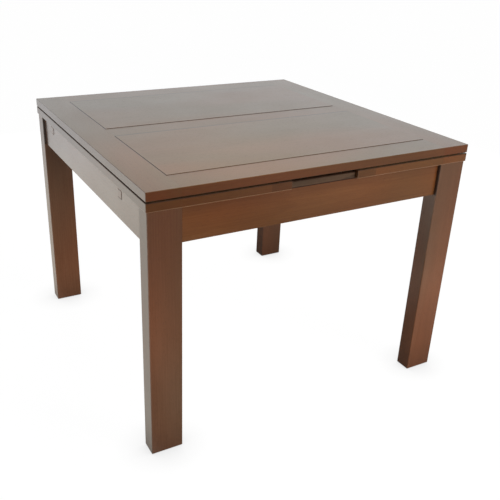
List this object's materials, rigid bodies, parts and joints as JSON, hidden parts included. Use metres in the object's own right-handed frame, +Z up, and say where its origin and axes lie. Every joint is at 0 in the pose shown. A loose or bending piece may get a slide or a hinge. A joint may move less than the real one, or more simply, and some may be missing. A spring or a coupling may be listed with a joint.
{
  "type": "extending table",
  "caption": "Square wooden draw-leaf dining table with a loose framed top, leaves stored under it that slide out on wooden runners, and straight rectangular legs.",
  "frame": {"origin": "on the floor under the middle of the table", "axes": "+Z up, X along the way the leaves are drawn, -Y to the front"},
  "size_m": [1, 1, 0.761],
  "materials": {
    "top_wood": "brown stain under satin lacquer",
    "frame_wood": "dark reddish brown stain under satin lacquer",
    "inner_wood": "planed bare hardwood",
    "felt": "dark brown felt",
    "steel": "zinc-plated steel",
    "glide_plastic": "moulded black plastic"
  },
  "bodies": {
    "frame": {"apron_back": "frame_wood", "apron_front": "frame_wood", "apron_left": "frame_wood", "apron_right": "frame_wood", "centre_board": "frame_wood", "centre_felt_strip_left": "felt", "centre_felt_strip_right": "felt", "corner_block_back_left": "inner_wood", "corner_block_back_right": "inner_wood", "corner_block_front_left": "inner_wood", "corner_block_front_right": "inner_wood", "cross_rail": "inner_wood", "flange_nut_back_left": "steel", "flange_nut_back_right": "steel", "flange_nut_front_left": "steel", "flange_nut_front_right": "steel", "glide_back_left": "glide_plastic", "glide_back_right": "glide_plastic", "glide_front_left": "glide_plastic", "glide_front_right": "glide_plastic", "hanger_bolt_back_left": "steel", "hanger_bolt_back_right": "steel", "hanger_bolt_front_left": "steel", "hanger_bolt_front_right": "steel", "leg_back_left": "frame_wood", "leg_back_right": "frame_wood", "leg_front_left": "frame_wood", "leg_front_right": "frame_wood"},
    "left_leaf": {"left_leaf_back_loper": "frame_wood", "left_leaf_back_loper_stop": "inner_wood", "left_leaf_back_rail": "top_wood", "left_leaf_front_loper": "frame_wood", "left_leaf_front_loper_stop": "inner_wood", "left_leaf_front_rail": "top_wood", "left_leaf_inner_stile": "top_wood", "left_leaf_outer_stile": "top_wood", "left_leaf_panel": "top_wood"},
    "right_leaf": {"right_leaf_back_loper": "frame_wood", "right_leaf_back_loper_stop": "inner_wood", "right_leaf_back_rail": "top_wood", "right_leaf_front_loper": "frame_wood", "right_leaf_front_loper_stop": "inner_wood", "right_leaf_front_rail": "top_wood", "right_leaf_inner_stile": "top_wood", "right_leaf_outer_stile": "top_wood", "right_leaf_panel": "top_wood"},
    "top": {"felt_strip_left": "felt", "felt_strip_right": "felt", "top_panel_back": "top_wood", "top_panel_front": "top_wood", "top_peg_left": "inner_wood", "top_peg_right": "inner_wood", "top_rail_back": "top_wood", "top_rail_centre": "top_wood", "top_rail_front": "top_wood", "top_stile_left": "top_wood", "top_stile_right": "top_wood"}
  },
  "joints": [
    {"name": "left_leaf_draw", "type": "slide", "parent": "frame", "child": "left_leaf", "axis": [-1, 0, 0], "range_m": [0, 0.398]},
    {"name": "right_leaf_draw", "type": "slide", "parent": "frame", "child": "right_leaf", "axis": [1, 0, 0], "range_m": [0, 0.398]},
    {"name": "top_lift", "type": "slide", "parent": "frame", "child": "top", "axis": [0, 0, 1], "range_m": [0, 0.03]}
  ]
}
